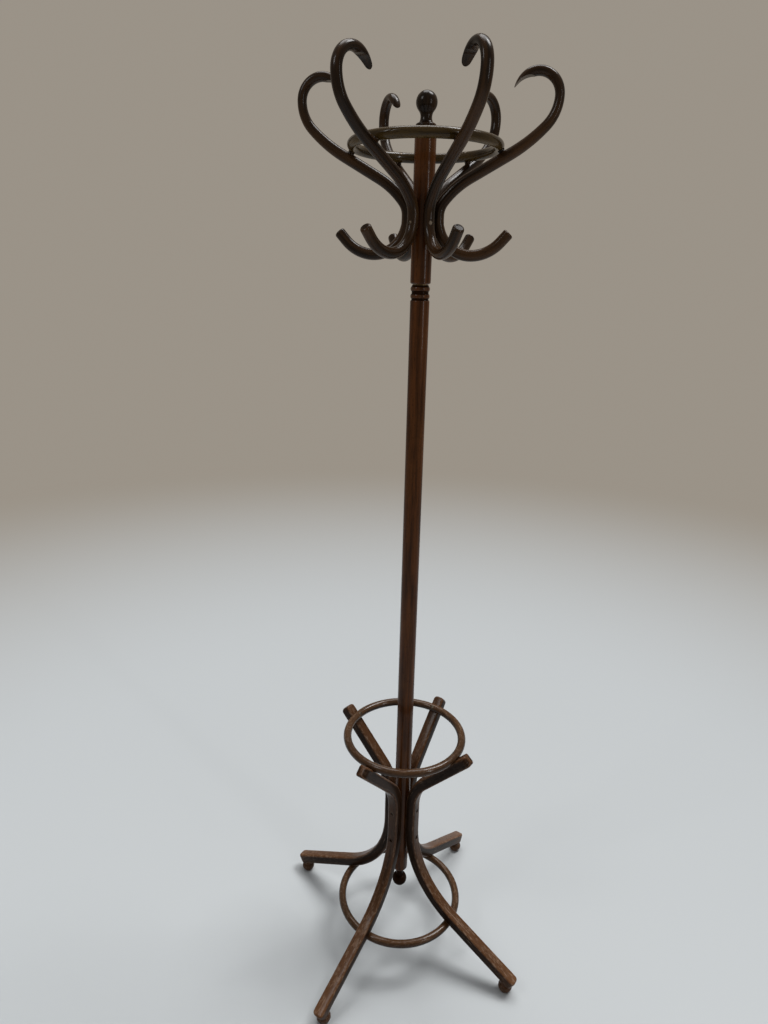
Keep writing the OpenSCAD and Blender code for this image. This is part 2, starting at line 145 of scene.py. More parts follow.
def beechFinish(name, spec):
    material = bpy.data.materials.new(name)
    add = nodeMaker(material)
    place = woodPlace(add, spec["way"])
    worn = add("ShaderNodeAttribute", attribute_name="handWear").outputs["Fac"]
    figure, fleck, cloud = (mark(add, place, kind) for kind in ("figure", "fleck", "cloud"))
    pits = mark(add, place, "pits")
    nicks = mark(add, place, "nicks", nickTurn)
    tone = blendColour(add, softStep(add, figure, *starts["warm"]), spec["deep"], spec["warm"])
    tone = blendColour(add, softStep(add, cloud, *starts["glow"], spec["cloud"]), tone, spec["glow"])
    tone = blendColour(add, mathStep(add, "MULTIPLY", worn, spec["fade"], True), tone, spec["glow"])
    tone = blendColour(add, softStep(add, fleck, *starts["pore"]), tone, spec["pore"])
    # darker where the end grain drinks the stain and in the post's grooves, and painted shade on the sides of
    # the legs and on the post's drop
    pool = add("ShaderNodeAttribute", attribute_name="stainPoolAndShade").outputs["Fac"]
    tone = blendColour(add, mathStep(add, "MULTIPLY", pool, surface["poolAndShadeDark"]), tone, spec["pore"])
    rubbed = mathStep(add, "MULTIPLY", worn, softStep(add, pits, *starts["rubbed"]))
    tone = blendColour(add, mathStep(add, "MULTIPLY", rubbed, spec["wear"]), tone, spec["bare"])
    scratch = mathStep(add, "MULTIPLY", softStep(add, nicks, *starts["nicks"]),
                       softStep(add, cloud, *starts["nickPatch"]))
    scratch = mathStep(add, "MULTIPLY", scratch, spec["scratch"])
    tone = blendColour(add, scratch, tone, spec["bare"])
    rough = mathStep(add, "ADD", mathStep(add, "MULTIPLY", figure, surface["figureRough"]), spec["rough"])
    rough = mathStep(add, "ADD", rough, mathStep(add, "MULTIPLY", rubbed, surface["rubbedRough"]), True)
    height = mathStep(add, "ADD", mathStep(add, "MULTIPLY", figure, surface["figureRise"]),
                      mathStep(add, "MULTIPLY", fleck, surface["fleckRise"]))
    height = mathStep(add, "SUBTRACT", height, mathStep(add, "MULTIPLY", rubbed, surface["rubbedDip"]))
    bump = add("ShaderNodeBump", {"Strength": spec["bump"], "Distance": surface["relief"], "Height": height})
    # the gloss is lowered at the same places, also where the shade is painted
    polish = mathStep(add, "SUBTRACT", 1.0, mathStep(add, "MULTIPLY", pool, surface["poolAndShadeDull"]))
    shader = add("ShaderNodeBsdfPrincipled", {
        "Base Color": tone, "Roughness": rough, "Normal": bump.outputs[0], "IOR": surface["index"],
        "Specular IOR Level": mathStep(add, "MULTIPLY", polish, spec["shine"]),
        "Coat Weight": mathStep(add, "MULTIPLY", polish, spec["coat"]),
        "Coat Roughness": surface["coatRough"]})
    add("ShaderNodeOutputMaterial", {0: shader.outputs[0]})
    return material


def metalFinish(name, spec):
    material = bpy.data.materials.new(name)
    add = nodeMaker(material)
    place = add("ShaderNodeTexCoord").outputs["Object"]
    smear = noise(add, place, *spec["smear"])
    brushed = noise(add, stretched(add, place, spec["brushAlong"]), *spec["brush"])
    tone = blendColour(add, softStep(add, smear, *spec["tarnishStarts"]), spec["bright"], spec["tarnish"])
    rough = mathStep(add, "ADD", mathStep(add, "MULTIPLY", smear, spec["smearRough"]), spec["rough"], True)
    bump = add("ShaderNodeBump", {"Strength": spec["bump"], "Distance": spec["relief"], "Height": brushed})
    shader = add("ShaderNodeBsdfPrincipled", {"Base Color": tone, "Roughness": rough, "Metallic": 1.0,
                                              "Normal": bump.outputs[0]})
    add("ShaderNodeOutputMaterial", {0: shader.outputs[0]})
    return material


# stains: deep and warm make the figure, glow is thin stain, bare is rubbed wood
darkStain = {"way": "bent", "deep": (0.0090, 0.0046, 0.0022, 1), "warm": (0.038, 0.0180, 0.0070, 1),
             "glow": (0.075, 0.0340, 0.0125, 1), "cloud": 0.5, "fade": 0.3,
             "pore": (0.004, 0.0024, 0.0015, 1),
             "bare": (0.20, 0.135, 0.085, 1), "wear": 0.5, "scratch": 0.08, "rough": 0.18,
             "bump": 0.10, "coat": 0.10, "shine": 0.10}
postStain = dict(darkStain, way="turned", deep=(0.032, 0.0100, 0.0022, 1), warm=(0.092, 0.0290, 0.0068, 1),
                 glow=(0.115, 0.0400, 0.0095, 1), pore=(0.010, 0.0040, 0.0015, 1), bump=0.12)
finialStain = dict(darkStain, way="turned", deep=(0.007, 0.0036, 0.0018, 1), warm=(0.024, 0.0120, 0.0050, 1))
legStain = dict(darkStain, deep=(0.013, 0.0060, 0.0026, 1), warm=(0.050, 0.0205, 0.0080, 1), fade=1.0,
                glow=(0.130, 0.0560, 0.0230, 1), cloud=0.1, pore=(0.007, 0.0036, 0.0020, 1), scratch=0.55,
                bare=(0.34, 0.24, 0.17, 1), rough=0.22, bump=0.18)
crownRingStain = dict(darkStain, way="hoop", deep=(0.018, 0.0100, 0.0025, 1), warm=(0.060, 0.0350, 0.0095, 1),
                      glow=(0.090, 0.0540, 0.0160, 1), fade=0.6, coat=0.2)
lowRingStain = dict(legStain, way="hoop", deep=(0.015, 0.0070, 0.0030, 1), warm=(0.056, 0.0250, 0.0095, 1),
                    glow=(0.130, 0.0620, 0.0270, 1), rough=0.16, coat=0.3)
bunStain = dict(legStain, way="turned", scratch=0.5)
screwMetal = {"bright": (0.13, 0.105, 0.080, 1), "tarnish": (0.050, 0.036, 0.026, 1), "rough": 0.3,
              "smear": (600, 5, 0.6), "smearRough": 0.3, "tarnishStarts": (0.4, 0.7),
              "brush": (1500, 2, 0.5), "brushAlong": (1, 1, 6), "bump": 0.12, "relief": 0.0001}
# the washer's brass is tarnished, and darkened further as painted shade for the dark groove at the joint
washerMetalAndShade = dict(screwMetal, bright=(0.15, 0.100, 0.045, 1), tarnish=(0.060, 0.038, 0.018, 1),
                   smear=(300, 5, 0.6))
stains = {"armBeech": darkStain, "postBeech": postStain, "finialBeech": finialStain, "legBeech": legStain,
          "crownRingBeech": crownRingStain, "lowRingBeech": lowRingStain, "bunBeech": bunStain}
finishes = {name: beechFinish(name, spec) for name, spec in stains.items()}
for metalName, metalSpec in (("screwSteel", screwMetal), ("washerBrassAndShade", washerMetalAndShade)):
    finishes[metalName] = metalFinish(metalName, metalSpec)
print("finishes mixed:", len(finishes))


# bench tools
def arc(cx, cz, radius, start, end, steps):
    # places on an arc, from one angle to another
    return [(cx + radius * math.cos(math.radians(start + (end - start) * k / steps)),
             cz + radius * math.sin(math.radians(start + (end - start) * k / steps)))
            for k in range(steps + 1)]


def turnOnLathe(profile, steps=72):
    # profile is [(radius, height)] in metres, from bottom to top
    bm = bmesh.new()
    line = [bm.verts.new((r, 0, z)) for r, z in profile]
    edges = [bm.edges.new(pair) for pair in zip(line, line[1:])]
    bmesh.ops.spin(bm, geom=line + edges, cent=(0, 0, 0), axis=(0, 0, 1), angle=math.tau,
                   steps=steps, use_merge=True)
    bmesh.ops.remove_doubles(bm, verts=bm.verts, dist=1e-6)
    bmesh.ops.recalc_face_normals(bm, faces=bm.faces)
    return bm


def objectFrom(bm, name):
    mesh = bpy.data.meshes.new(name)
    bm.to_mesh(mesh)
    bm.free()
    made = bpy.data.objects.new(name, mesh)
    bpy.context.scene.collection.objects.link(made)
    return made


def copiesAt(master, places):
    # one mesh that holds a copy of the master at each place; the master is used up
    bm = bmesh.new()
    mesh = bpy.data.meshes.new("master")
    master.to_mesh(mesh)
    master.free()
    for place in places:
        already = set(bm.verts)
        bm.from_mesh(mesh)
        bmesh.ops.transform(bm, matrix=place, verts=[v for v in bm.verts if v not in already])
    bpy.data.meshes.remove(mesh)
    return bm


def saw(bm, at, toward, dist=1e-7, dropPast=False):
    # cuts every face at a plane; what lies past it can be dropped, and the cut is then closed
    cut = bmesh.ops.bisect_plane(bm, geom=bm.verts[:] + bm.edges[:] + bm.faces[:], dist=dist, plane_co=at,
                                 plane_no=toward, clear_outer=dropPast)["geom_cut"]
    if dropPast:
        bmesh.ops.holes_fill(bm, edges=[g for g in cut if isinstance(g, bmesh.types.BMEdge)])


def longEdges(bm, least):
    return [e for e in bm.edges if abs(e.verts[0].co.z - e.verts[1].co.z) > least]


def inCamel(node):
    first, *rest = node.split("_")
    return first + "".join(word.title() for word in rest)


def finishPiece(bm, name, body, finish, standsFor, sharp=38):
    piece = objectFrom(bm, name)
    piece.data.shade_smooth()
    piece.data.set_sharp_from_angle(angle=math.radians(sharp))
    piece.data.materials.append(finishes[finish])
    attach(piece, body)
    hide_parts(*standsFor)


def wearLayer(bm):
    return bm.verts.layers.float.get("handWear") or bm.verts.layers.float.new("handWear")


# the attribute that holds pooled stain and painted shade
def poolAndShadeLayer(bm):
    return bm.verts.layers.float.get("stainPoolAndShade") or bm.verts.layers.float.new("stainPoolAndShade")


def woodLayer(bm):
    layers = bm.verts.layers.float_vector
    return layers.get("straightWood") or layers.new("straightWood")


def turned(place, azimuth):
    return Matrix.Rotation(math.radians(azimuth), 4, "Z") @ place


# screws: a place is where the head's middle lies, with the head facing along its own Z
screw = {"shank": 0.002, "head": 0.004, "lip": 0.0006, "point": 0.005, "slot": 0.0012, "slotDepth": 0.0009,
         "rimShare": 0.985, "domeShare": 0.94, "dome": 0.0001, "sides": 32, "sharp": 30,
         "firstTurn": 20, "nextTurn": 37}
drill = {"clear": 0.00005, "depth": 0.012, "above": 0.004}


def facing(radius, height, tilt, lift=0.0):
    lean = Matrix.Rotation(math.radians(tilt), 4, "Y")
    return Matrix.Translation((radius, 0, height)) @ lean @ Matrix.Translation((0, 0, lift))


def screwBlank(spec, length):
    neck = -spec["lip"] - spec["head"] + spec["shank"]
    bm = turnOnLathe([(0, -length), (spec["shank"], spec["point"] - length), (spec["shank"], neck),
                      (spec["head"], -spec["lip"]), (spec["head"] * spec["rimShare"], -spec["dome"]),
                      (spec["head"] * spec["domeShare"], 0), (0, spec["dome"])], spec["sides"])
    for side in (-1, 1):
        saw(bm, (side * spec["slot"] / 2, 0, 0), (1, 0, 0))
    strip = [f for f in bm.faces if f.calc_center_median().z > -0.8 * spec["dome"]
             and abs(f.calc_center_median().x) < spec["slot"] / 2]
    sunk = bmesh.ops.extrude_face_region(bm, geom=strip)["geom"]
    bmesh.ops.translate(bm, verts=[g for g in sunk if isinstance(g, bmesh.types.BMVert)],
                        vec=(0, 0, -spec["slotDepth"]))
    bmesh.ops.delete(bm, geom=strip, context="FACES")
    return bm


def drillOut(bm, places):
    # countersinks for the screw heads
    shank, head = screw["shank"] + drill["clear"], screw["head"] + drill["clear"]
    bit = turnOnLathe([(0, -drill["depth"]), (shank, -drill["depth"]), (shank, shank - head - screw["lip"]),
                       (head, -screw["lip"]), (head, drill["above"]), (0, drill["above"])], screw["sides"])
    blank, bits = objectFrom(bm, "blank"), objectFrom(copiesAt(bit, places), "bit")
    cut = blank.modifiers.new("countersink", "BOOLEAN")
    cut.operation, cut.solver, cut.object = "DIFFERENCE", "EXACT", bits
    graph = bpy.context.evaluated_depsgraph_get()
    drilled = bmesh.new()
    drilled.from_mesh(bpy.data.meshes.new_from_object(blank.evaluated_get(graph)))
    for thing in (blank, bits):
        bpy.data.objects.remove(thing)
    return drilled


def driveScrews(node, body, places, length):
    row = []
    for k, place in enumerate(places):      # no two slots are left at the same turn
        turn = math.radians(screw["nextTurn"] * k + screw["firstTurn"])
        row.append(place @ Matrix.Rotation(turn, 4, "Z"))
    bm = copiesAt(screwBlank(screw, length), row)
    finishPiece(bm, inCamel(node), body, "screwSteel", [node], screw["sharp"])


# bends: the runs are (bend radius, turn in degrees), or (0, length) for a straight run
def bendWay(start, heading, runs):
    # gives radius, height and heading for a length along the rod
    pieces, r, z, head = [], start[0], start[1], math.radians(heading)
    for bend, turn in runs:
        side = math.copysign(1, turn)
        length = turn if bend == 0 else bend * math.radians(abs(turn))
        pieces.append((length, bend, side, r, z, head))
        if bend == 0:
            r, z = r + length * math.cos(head), z + length * math.sin(head)
        else:
            after = head + math.radians(turn)
            r += bend * side * (math.sin(after) - math.sin(head))
            z += bend * side * (math.cos(head) - math.cos(after))
            head = after

    def at(s):
        for k, (length, bend, side, r, z, head) in enumerate(pieces):
            if s <= length or k == len(pieces) - 1:
                break
            s -= length
        if bend == 0:
            return r + s * math.cos(head), z + s * math.sin(head), head
        after = head + side * s / bend
        return (r + bend * side * (math.sin(after) - math.sin(head)),
                z + bend * side * (math.cos(head) - math.cos(after)), after)

    return at, sum(piece[0] for piece in pieces)


def bendRod(bm, upWay, downWay):
    # the straight rod lies along Z from the start of its seat, with +Y to the left of its way up
    for v in bm.verts:
        across, left, s = v.co
        if s >= 0:
            r, z, head = upWay(s)
        else:
            r, z, head = downWay(-s)
            head += math.pi
        v.co = (r - left * math.sin(head), across, z + left * math.cos(head))
    bmesh.ops.recalc_face_normals(bm, faces=bm.faces)


endRings = {"count": 7, "step": 11}      # near a rounded end, with degrees of its curve between them


def ringEnds(bm, ends, rounding):
    # closer rings near an end, for its rounding
    for end, way in ends:
        for k in range(1, endRings["count"] + 1):
            depth = rounding * (1 - math.cos(math.radians(endRings["step"] * k)))
            saw(bm, (0, 0, end + way * depth), (0, 0, 1), 1e-6)


def endShare(end, rounding, half):
    # how much of the half width is left at a distance from a rounded end
    short = min(rounding, max(0, rounding - end))
    return (half - rounding + math.sqrt(rounding ** 2 - short ** 2)) / half


def ringAt(node):
    low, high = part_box(node)
    rod = (high.z - low.z) / 2
    return (high.x - low.x) / 2 - rod, (high.z + low.z) / 2, rod


# the two posts and the ball on top
postBox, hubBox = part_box("post_lower"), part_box("post_upper")
jointHeight = postBox[1].z
lowerPost = {"radius": (postBox[1].x - postBox[0].x) / 2, "ballHeight": 0.150, "ballRadius": 0.0175,
             "neckRadius": 0.008, "neckHeight": 0.023, "stem": 0.010, "endRound": 0.009,
             "bead": 0.013, "beads": 2, "beadRound": 0.006, "groove": 0.0022, "shoulder": 0.003,
             "rings": 12, "turning": 0.002, "skin": 0.0008, "beadWear": 0.25}
upperPost = {"radius": (hubBox[1].x - hubBox[0].x) / 2, "chamfer": 0.0026, "ease": 0.0006, "rings": 6}
finial = {"ballRadius": 0.0185, "height": 0.039, "neckRadius": 0.010, "neckHeight": 0.0165,
          "collarRadius": 0.018, "collar": 0.007}
legTurns = {"leg_back_right": 45, "leg_back_left": 135, "leg_front_left": 225, "leg_front_right": 315}


def neckedBall(ballRadius, neckRadius, neckHeight, height, stemRadius, steps=14):
    # the outline from a stem over a hollow neck to the far side of a ball
    rise = height - neckHeight
    cove = (rise ** 2 + neckRadius ** 2 - ballRadius ** 2) / (2 * (ballRadius - neckRadius))
    low = math.degrees(math.asin(max(-1, -neckHeight / cove)))
    touch = math.degrees(math.atan2(rise, neckRadius + cove))
    line = [(min(r, stemRadius), z)
            for r, z in arc(neckRadius + cove, neckHeight, cove, 180 - low, 180 - touch, steps)]
    return line + arc(0, height, ballRadius, -touch, 90, 2 * steps)[1:]


def makeLowerPost(spec):
    r, core = spec["radius"], spec["radius"] - spec["groove"]
    foot = spec["ballHeight"] + spec["neckHeight"] + spec["stem"]
    head = jointHeight - spec["beads"] * spec["bead"]
    drop = neckedBall(spec["ballRadius"], spec["neckRadius"], spec["stem"], foot - spec["ballHeight"],
                      r - spec["endRound"])
    line = [(x, foot - z) for x, z in reversed(drop)]
    line += arc(r - spec["endRound"], foot + spec["endRound"], spec["endRound"], -90, 0, 8)
    line += [(r, foot + (head - foot) * k / spec["rings"]) for k in range(1, spec["rings"])]
    line += arc(r - spec["shoulder"], head - spec["shoulder"], spec["shoulder"], 0, 70, 6)
    for i in range(spec["beads"]):
        middle = head + (i + 0.5) * spec["bead"]
        reach = math.degrees(math.acos((core - r + spec["beadRound"]) / spec["beadRound"]))
        line += arc(r - spec["beadRound"], middle, spec["beadRound"], -reach, reach, 12)
    line += [(core, jointHeight), (0, jointHeight)]
    bm = turnOnLathe(line)
    wear, pool = wearLayer(bm), poolAndShadeLayer(bm)
    for v in bm.verts:      # the beads are rubbed, the grooves are darker, and the drop is darkened as painted shade
        proud = v.co.xy.length > r - spec["skin"]
        if v.co.z > head - spec["turning"]:
            v[wear] = spec["beadWear"] if proud else 0
            v[pool] = 0 if proud else 1
        elif v.co.z < foot + spec["turning"]:
            # painted shade: the drop under the legs is made dark
            v[pool] = 1
    finishPiece(bm, "lowerPost", "stand", "postBeech", ["post_lower"])


def makeUpperPost(spec):
    r, low, high = spec["radius"], hubBox[0].z, hubBox[1].z
    line = [(0, low), (r - spec["chamfer"], low)]
    line += arc(r - spec["ease"], low + spec["chamfer"], spec["ease"], -30, 0, 3)
    line += [(r, low + (high - low) * k / spec["rings"]) for k in range(1, spec["rings"])]
    line += arc(r - spec["ease"], high - spec["ease"], spec["ease"], 0, 90, 4) + [(0, high)]
    finishPiece(turnOnLathe(line), "upperPost", "crown", "postBeech", ["post_upper"])


def makeFinial(spec):
    edge, top = spec["collar"] / 2, hubBox[1].z
    line = [(0, top)] + arc(spec["collarRadius"] - edge, top + edge, edge, -90, 90, 12)
    ball = neckedBall(spec["ballRadius"], spec["neckRadius"], spec["neckHeight"], spec["height"],
                      spec["collarRadius"] - edge)
    line += [(r, z + top) for r, z in ball if z > spec["collar"]]
    finishPiece(turnOnLathe(line), "ballFinial", "crown", "finialBeech", ["finial"])


makeLowerPost(lowerPost)
makeUpperPost(upperPost)
makeFinial(finial)
print("posts and finial turned")

# the six arms
bentArm = {"count": 6, "first": 39, "rod": 0.010, "curl": 0.008, "cope": 0.0008,
           "seatHeight": jointHeight + 0.115, "seat": 0.006, "slope": 29, "bend": 0.038, "bendTurn": 38,
           "ease": 0.145, "rise": 0.077, "curlEase": 0.246, "curlEaseTurn": 16, "curlOuter": 0.063,
           "curlTop": 0.037, "curlInner": 0.031, "curlTurn": 79, "feather": 0.036, "tip": 0.0009,
           "tipRound": 0.0036, "tipHalf": 0.0046,
           "hookBend": 0.060, "hookUp": 0.070, "hookTurn": 48, "hookEnd": 0.021, "endRound": 0.0038,
           "sides": 32, "pace": 0.004, "screwDrop": 0.011, "screwSink": 0.0008, "screwLength": 0.028,
           "wear": 0.15, "wearReach": 0.005, "endPool": 0.8, "endSkin": 0.0001, "sharp": 20,
           "nextWood": (0.31, 0.17, 1.9)}
armTurns = [bentArm["first"] + 360 * k / bentArm["count"] for k in range(bentArm["count"])]
armMiddle = upperPost["radius"] + bentArm["rod"] - bentArm["cope"]
armScrew = facing(armMiddle + bentArm["rod"] - bentArm["screwSink"],
                  bentArm["seatHeight"] - bentArm["screwDrop"], 90)
armStart = (armMiddle, bentArm["seatHeight"] - bentArm["seat"] / 2)
easeTurn = 90 - bentArm["slope"] - bentArm["bendTurn"]
curlOuterTurn = 90 - bentArm["slope"] - bentArm["curlEaseTurn"]
armUp, armUpLength = bendWay(armStart, 90, [
    (0, bentArm["seat"]), (bentArm["bend"], -bentArm["bendTurn"]), (bentArm["ease"], -easeTurn),
    (0, bentArm["rise"]), (bentArm["curlEase"], bentArm["curlEaseTurn"]),
    (bentArm["curlOuter"], curlOuterTurn), (bentArm["curlTop"], 90),
    (bentArm["curlInner"], bentArm["curlTurn"])])
armDown, armDownLength = bendWay(armStart, 270, [
    (bentArm["hookBend"], 90), (bentArm["hookUp"], bentArm["hookTurn"]), (0, bentArm["hookEnd"])])


def straightRod(low, high, spec):
    # a rod with a rounded lower end, ringed at an even pace
    bm = bmesh.new()
    bmesh.ops.create_cone(bm, cap_ends=True, segments=spec["sides"], radius1=spec["rod"],
                          radius2=spec["rod"], depth=high - low)
    bmesh.ops.translate(bm, verts=bm.verts, vec=(0, 0, (low + high) / 2))
    bmesh.ops.subdivide_edges(bm, edges=longEdges(bm, 0.001), cuts=round((high - low) / spec["pace"]),
                              use_grid_fill=True)
    rim = [e for e in bm.edges if all(abs(v.co.z - low) < 1e-5 for v in e.verts)]
    bmesh.ops.bevel(bm, geom=rim, offset=spec["endRound"], segments=6, profile=0.5, affect="EDGES",
                    material=-1)
    return bm


def featherTip(bm, spec):
    # the oblique face at the tip, planed while the rod is straight, then rounded across its end
    start = armUpLength - spec["feather"]
    plane = Vector((0, spec["feather"], 2 * spec["curl"] - spec["tip"])).normalized()
    saw(bm, (0, spec["curl"], start), plane, dropPast=True)
    steps = round(spec["feather"] / spec["pace"])
    for k in range(1, steps):
        planed = [f for f in bm.faces
                  if abs(f.normal.dot(plane)) > 0.9999 and f.calc_center_median().z > start]
        planed += [e for f in planed for e in f.edges] + [v for f in planed for v in f.verts]
        bmesh.ops.bisect_plane(bm, geom=list(set(planed)), dist=1e-6, plane_no=(0, 0, 1),
                               plane_co=(0, 0, start + spec["feather"] * k / steps))
    ringEnds(bm, ((armUpLength, -1),), spec["tipRound"])
    for v in bm.verts:
        v.co.x *= endShare(armUpLength - v.co.z, spec["tipRound"], spec["tipHalf"])


def makeArms(spec):
    bm = straightRod(-armDownLength, armUpLength, spec)
    thin = math.radians(spec["curlEase"] * spec["curlEaseTurn"] + spec["curlOuter"] * curlOuterTurn)
    curl = thin + math.radians(spec["curlTop"] * 90 + spec["curlInner"] * spec["curlTurn"])
    for v in bm.verts:      # thinned along the outer side of the curl
        share = min(1, max(0, (v.co.z - armUpLength + curl) / thin))
        v.co.y *= 1 + (spec["curl"] / spec["rod"] - 1) * share
    featherTip(bm, spec)
    wood, wear, pool = woodLayer(bm), wearLayer(bm), poolAndShadeLayer(bm)
    for v in bm.verts:
        hookEnd = v.co.z + armDownLength
        v[wear] = max(0, 1 - min(armUpLength - v.co.z, hookEnd) / spec["wearReach"]) * spec["wear"]
        v[pool] = spec["endPool"] if hookEnd < spec["endSkin"] else 0      # the end grain drinks the stain
        v[wood] = v.co
    bendRod(bm, armUp, armDown)
    bm = drillOut(bm, [armScrew])
    for k, azimuth in enumerate(armTurns):
        arm = bm.copy()
        wood = woodLayer(arm)
        for v in arm.verts:      # each arm is from its own piece of wood
            v[wood] += Vector([k * step for step in spec["nextWood"]])
        bmesh.ops.transform(arm, matrix=turned(Matrix(), azimuth), verts=arm.verts)
        finishPiece(arm, "bentArm%d" % (k + 1), "crown", "armBeech",
                    ["coat_arm_%d" % (k + 1)], spec["sharp"])
    bm.free()
    places = [turned(armScrew, azimuth) for azimuth in armTurns]
    driveScrews("arm_screws", "crown", places, spec["screwLength"])


makeArms(bentArm)
print("arms bent and screwed on")

# the four legs and their feet
bentLeg = {"width": 0.026, "thickness": 0.025, "round": 0.005, "endWide": 0.009, "endDeep": 0.0045,
           "cope": 0.0006, "clear": 0.025, "seat": 0.070, "low": 0.232, "fall": 28, "reach": 0.320,
           "high": 0.110, "climb": 47, "top": 0.157, "pace": 0.006, "screwDrop": 0.022,
           "screwGap": 0.078, "screwSink": 0.0015, "screwLength": 0.034, "nextWood": (0.23, 0.29, 2.3)}
# how the legs are worn, and how dark the painted shade on their sides is
legWearAndShade = {"all": 0.05, "arris": 0.8, "pool": 0.7, "low": 0.42, "lowGrow": 0.25,
           "high": 0.22, "highFrom": 0.07, "highGrow": 0.1,
           "foot": 0.45, "footReach": 0.04, "top": 0.1, "topReach": 0.02}
footBun = {"inset": 0.020, "radius": 0.016, "side": 0.0115, "flat": 0.012, "edge": 0.0012, "sides": 48,
           "blank": 0.040, "sawn": 0.0006, "worn": 0.006, "wear": 0.35, "footWear": 0.6}
legMiddle = lowerPost["radius"] + bentLeg["thickness"] / 2 - bentLeg["cope"]
legFall = math.radians(bentLeg["fall"])
legLowEnd = legMiddle + bentLeg["low"] * (1 - math.sin(legFall))
bunReach = bentLeg["reach"] - footBun["inset"]
legSeat = (bentLeg["clear"] + bentLeg["thickness"] / 2 / math.cos(legFall)
           + (bunReach - legLowEnd) * math.tan(legFall) + bentLeg["low"] * math.cos(legFall))
legUp, legUpLength = bendWay((legMiddle, legSeat), 90, [
    (0, bentLeg["seat"]), (bentLeg["high"], bentLeg["climb"] - 90), (0, bentLeg["top"])])
legDown, legDownLength = bendWay((legMiddle, legSeat), 270, [
    (bentLeg["low"], 90 - bentLeg["fall"]), (0, (bentLeg["reach"] - legLowEnd) / math.cos(legFall))])
legScrews = [facing(legMiddle + bentLeg["thickness"] / 2 - bentLeg["screwSink"],
                    legSeat - bentLeg["screwDrop"] + gap, 90) for gap in (0, bentLeg["screwGap"])]


def wearAndShadeLeg(v, wear, pool, spec):
    # kicked and rubbed most at the foot, along the arrises and on the upper faces, with painted shade on its
    # sides
    face = max(0, (abs(v.co.y) - spec["thickness"] / 2) / spec["round"] + 1)
    arris = face * max(0, (abs(v.co.x) - spec["width"] / 2) / spec["round"] + 1)
    low = min(1, max(0, -v.co.z / legWearAndShade["lowGrow"])) * (v.co.y < 0)
    high = min(1, max(0, (v.co.z - legWearAndShade["highFrom"]) / legWearAndShade["highGrow"])) * (v.co.y > 0)
    v[wear] = min(1, legWearAndShade["all"] + face * (legWearAndShade["low"] * low + legWearAndShade["high"] * high)
                  + legWearAndShade["arris"] * arris
                  + legWearAndShade["foot"] * math.exp(-(v.co.z + legDownLength) / legWearAndShade["footReach"])
                  + legWearAndShade["top"] * math.exp(-(legUpLength - v.co.z) / legWearAndShade["topReach"]))
    # painted shade: the sides of the leg are darkened, less where they are worn
    v[pool] = legWearAndShade["pool"] * max(0, 1 - face) * (1 - v[wear])


def makeLegs(spec):
    length = legUpLength + legDownLength
    bm = bmesh.new()
    bmesh.ops.create_cube(bm, size=1)
    bmesh.ops.scale(bm, verts=bm.verts, vec=(spec["width"], spec["thickness"], length))
    bmesh.ops.translate(bm, verts=bm.verts, vec=(0, 0, (legUpLength - legDownLength) / 2))
    bmesh.ops.bevel(bm, geom=longEdges(bm, 0.1), offset=spec["round"], segments=6, profile=0.5,
                    affect="EDGES", material=-1)
    bmesh.ops.subdivide_edges(bm, edges=longEdges(bm, 0.1), cuts=round(length / spec["pace"]),
                              use_grid_fill=True)
    ringEnds(bm, ((-legDownLength, 1), (legUpLength, -1)), spec["endWide"])      # rasped round at both ends
    wood, wear, pool = woodLayer(bm), wearLayer(bm), poolAndShadeLayer(bm)
    for v in bm.verts:
        wearAndShadeLeg(v, wear, pool, spec)
        v[wood] = v.co
        end = min(v.co.z + legDownLength, legUpLength - v.co.z)
        v.co.x *= endShare(end, spec["endWide"], spec["width"] / 2)
        v.co.y *= endShare(end, spec["endDeep"], spec["thickness"] / 2)
    bendRod(bm, legUp, legDown)
    bm = drillOut(bm, legScrews)
    for k, (node, azimuth) in enumerate(legTurns.items()):
        leg = bm.copy()
        wood = woodLayer(leg)
        for v in leg.verts:      # and so is each leg
            v[wood] += Vector([k * step for step in spec["nextWood"]])
        bmesh.ops.transform(leg, matrix=turned(Matrix(), azimuth), verts=leg.verts)
        finishPiece(leg, inCamel("bent_" + node), "stand", "legBeech", [node])
    bm.free()
    places = [turned(place, azimuth) for azimuth in legTurns.values() for place in legScrews]
    driveScrews("leg_screws", "stand", places, spec["screwLength"])


def makeBuns(spec):
    reach = math.degrees(math.acos((spec["flat"] - spec["radius"] + spec["side"]) / spec["side"]))
    line = [(0, 0)] + arc(spec["flat"] - spec["edge"], spec["edge"], spec["edge"], -90, -25, 4)
    line += arc(spec["radius"] - spec["side"], spec["side"], spec["side"], -reach, reach, 16)
    line += [(spec["flat"], spec["blank"]), (0, spec["blank"])]
    bun = turnOnLathe(line, spec["sides"])      # its top is sawn to the slope of the leg
    saw(bun, (0, 0, bentLeg["clear"] + spec["sawn"]), (math.sin(legFall), 0, math.cos(legFall)),
        dropPast=True)
    wear = wearLayer(bun)
    for v in bun.verts:
        v[wear] = spec["footWear"] if v.co.z < spec["worn"] else spec["wear"]
    places = [turned(Matrix.Translation((bunReach, 0, 0)), azimuth) for azimuth in legTurns.values()]
    finishPiece(copiesAt(bun, places), "footBuns", "stand", "bunBeech", ["foot_buns"])


makeLegs(bentLeg)
makeBuns(footBun)
print("legs bent, screwed on and set on their feet")

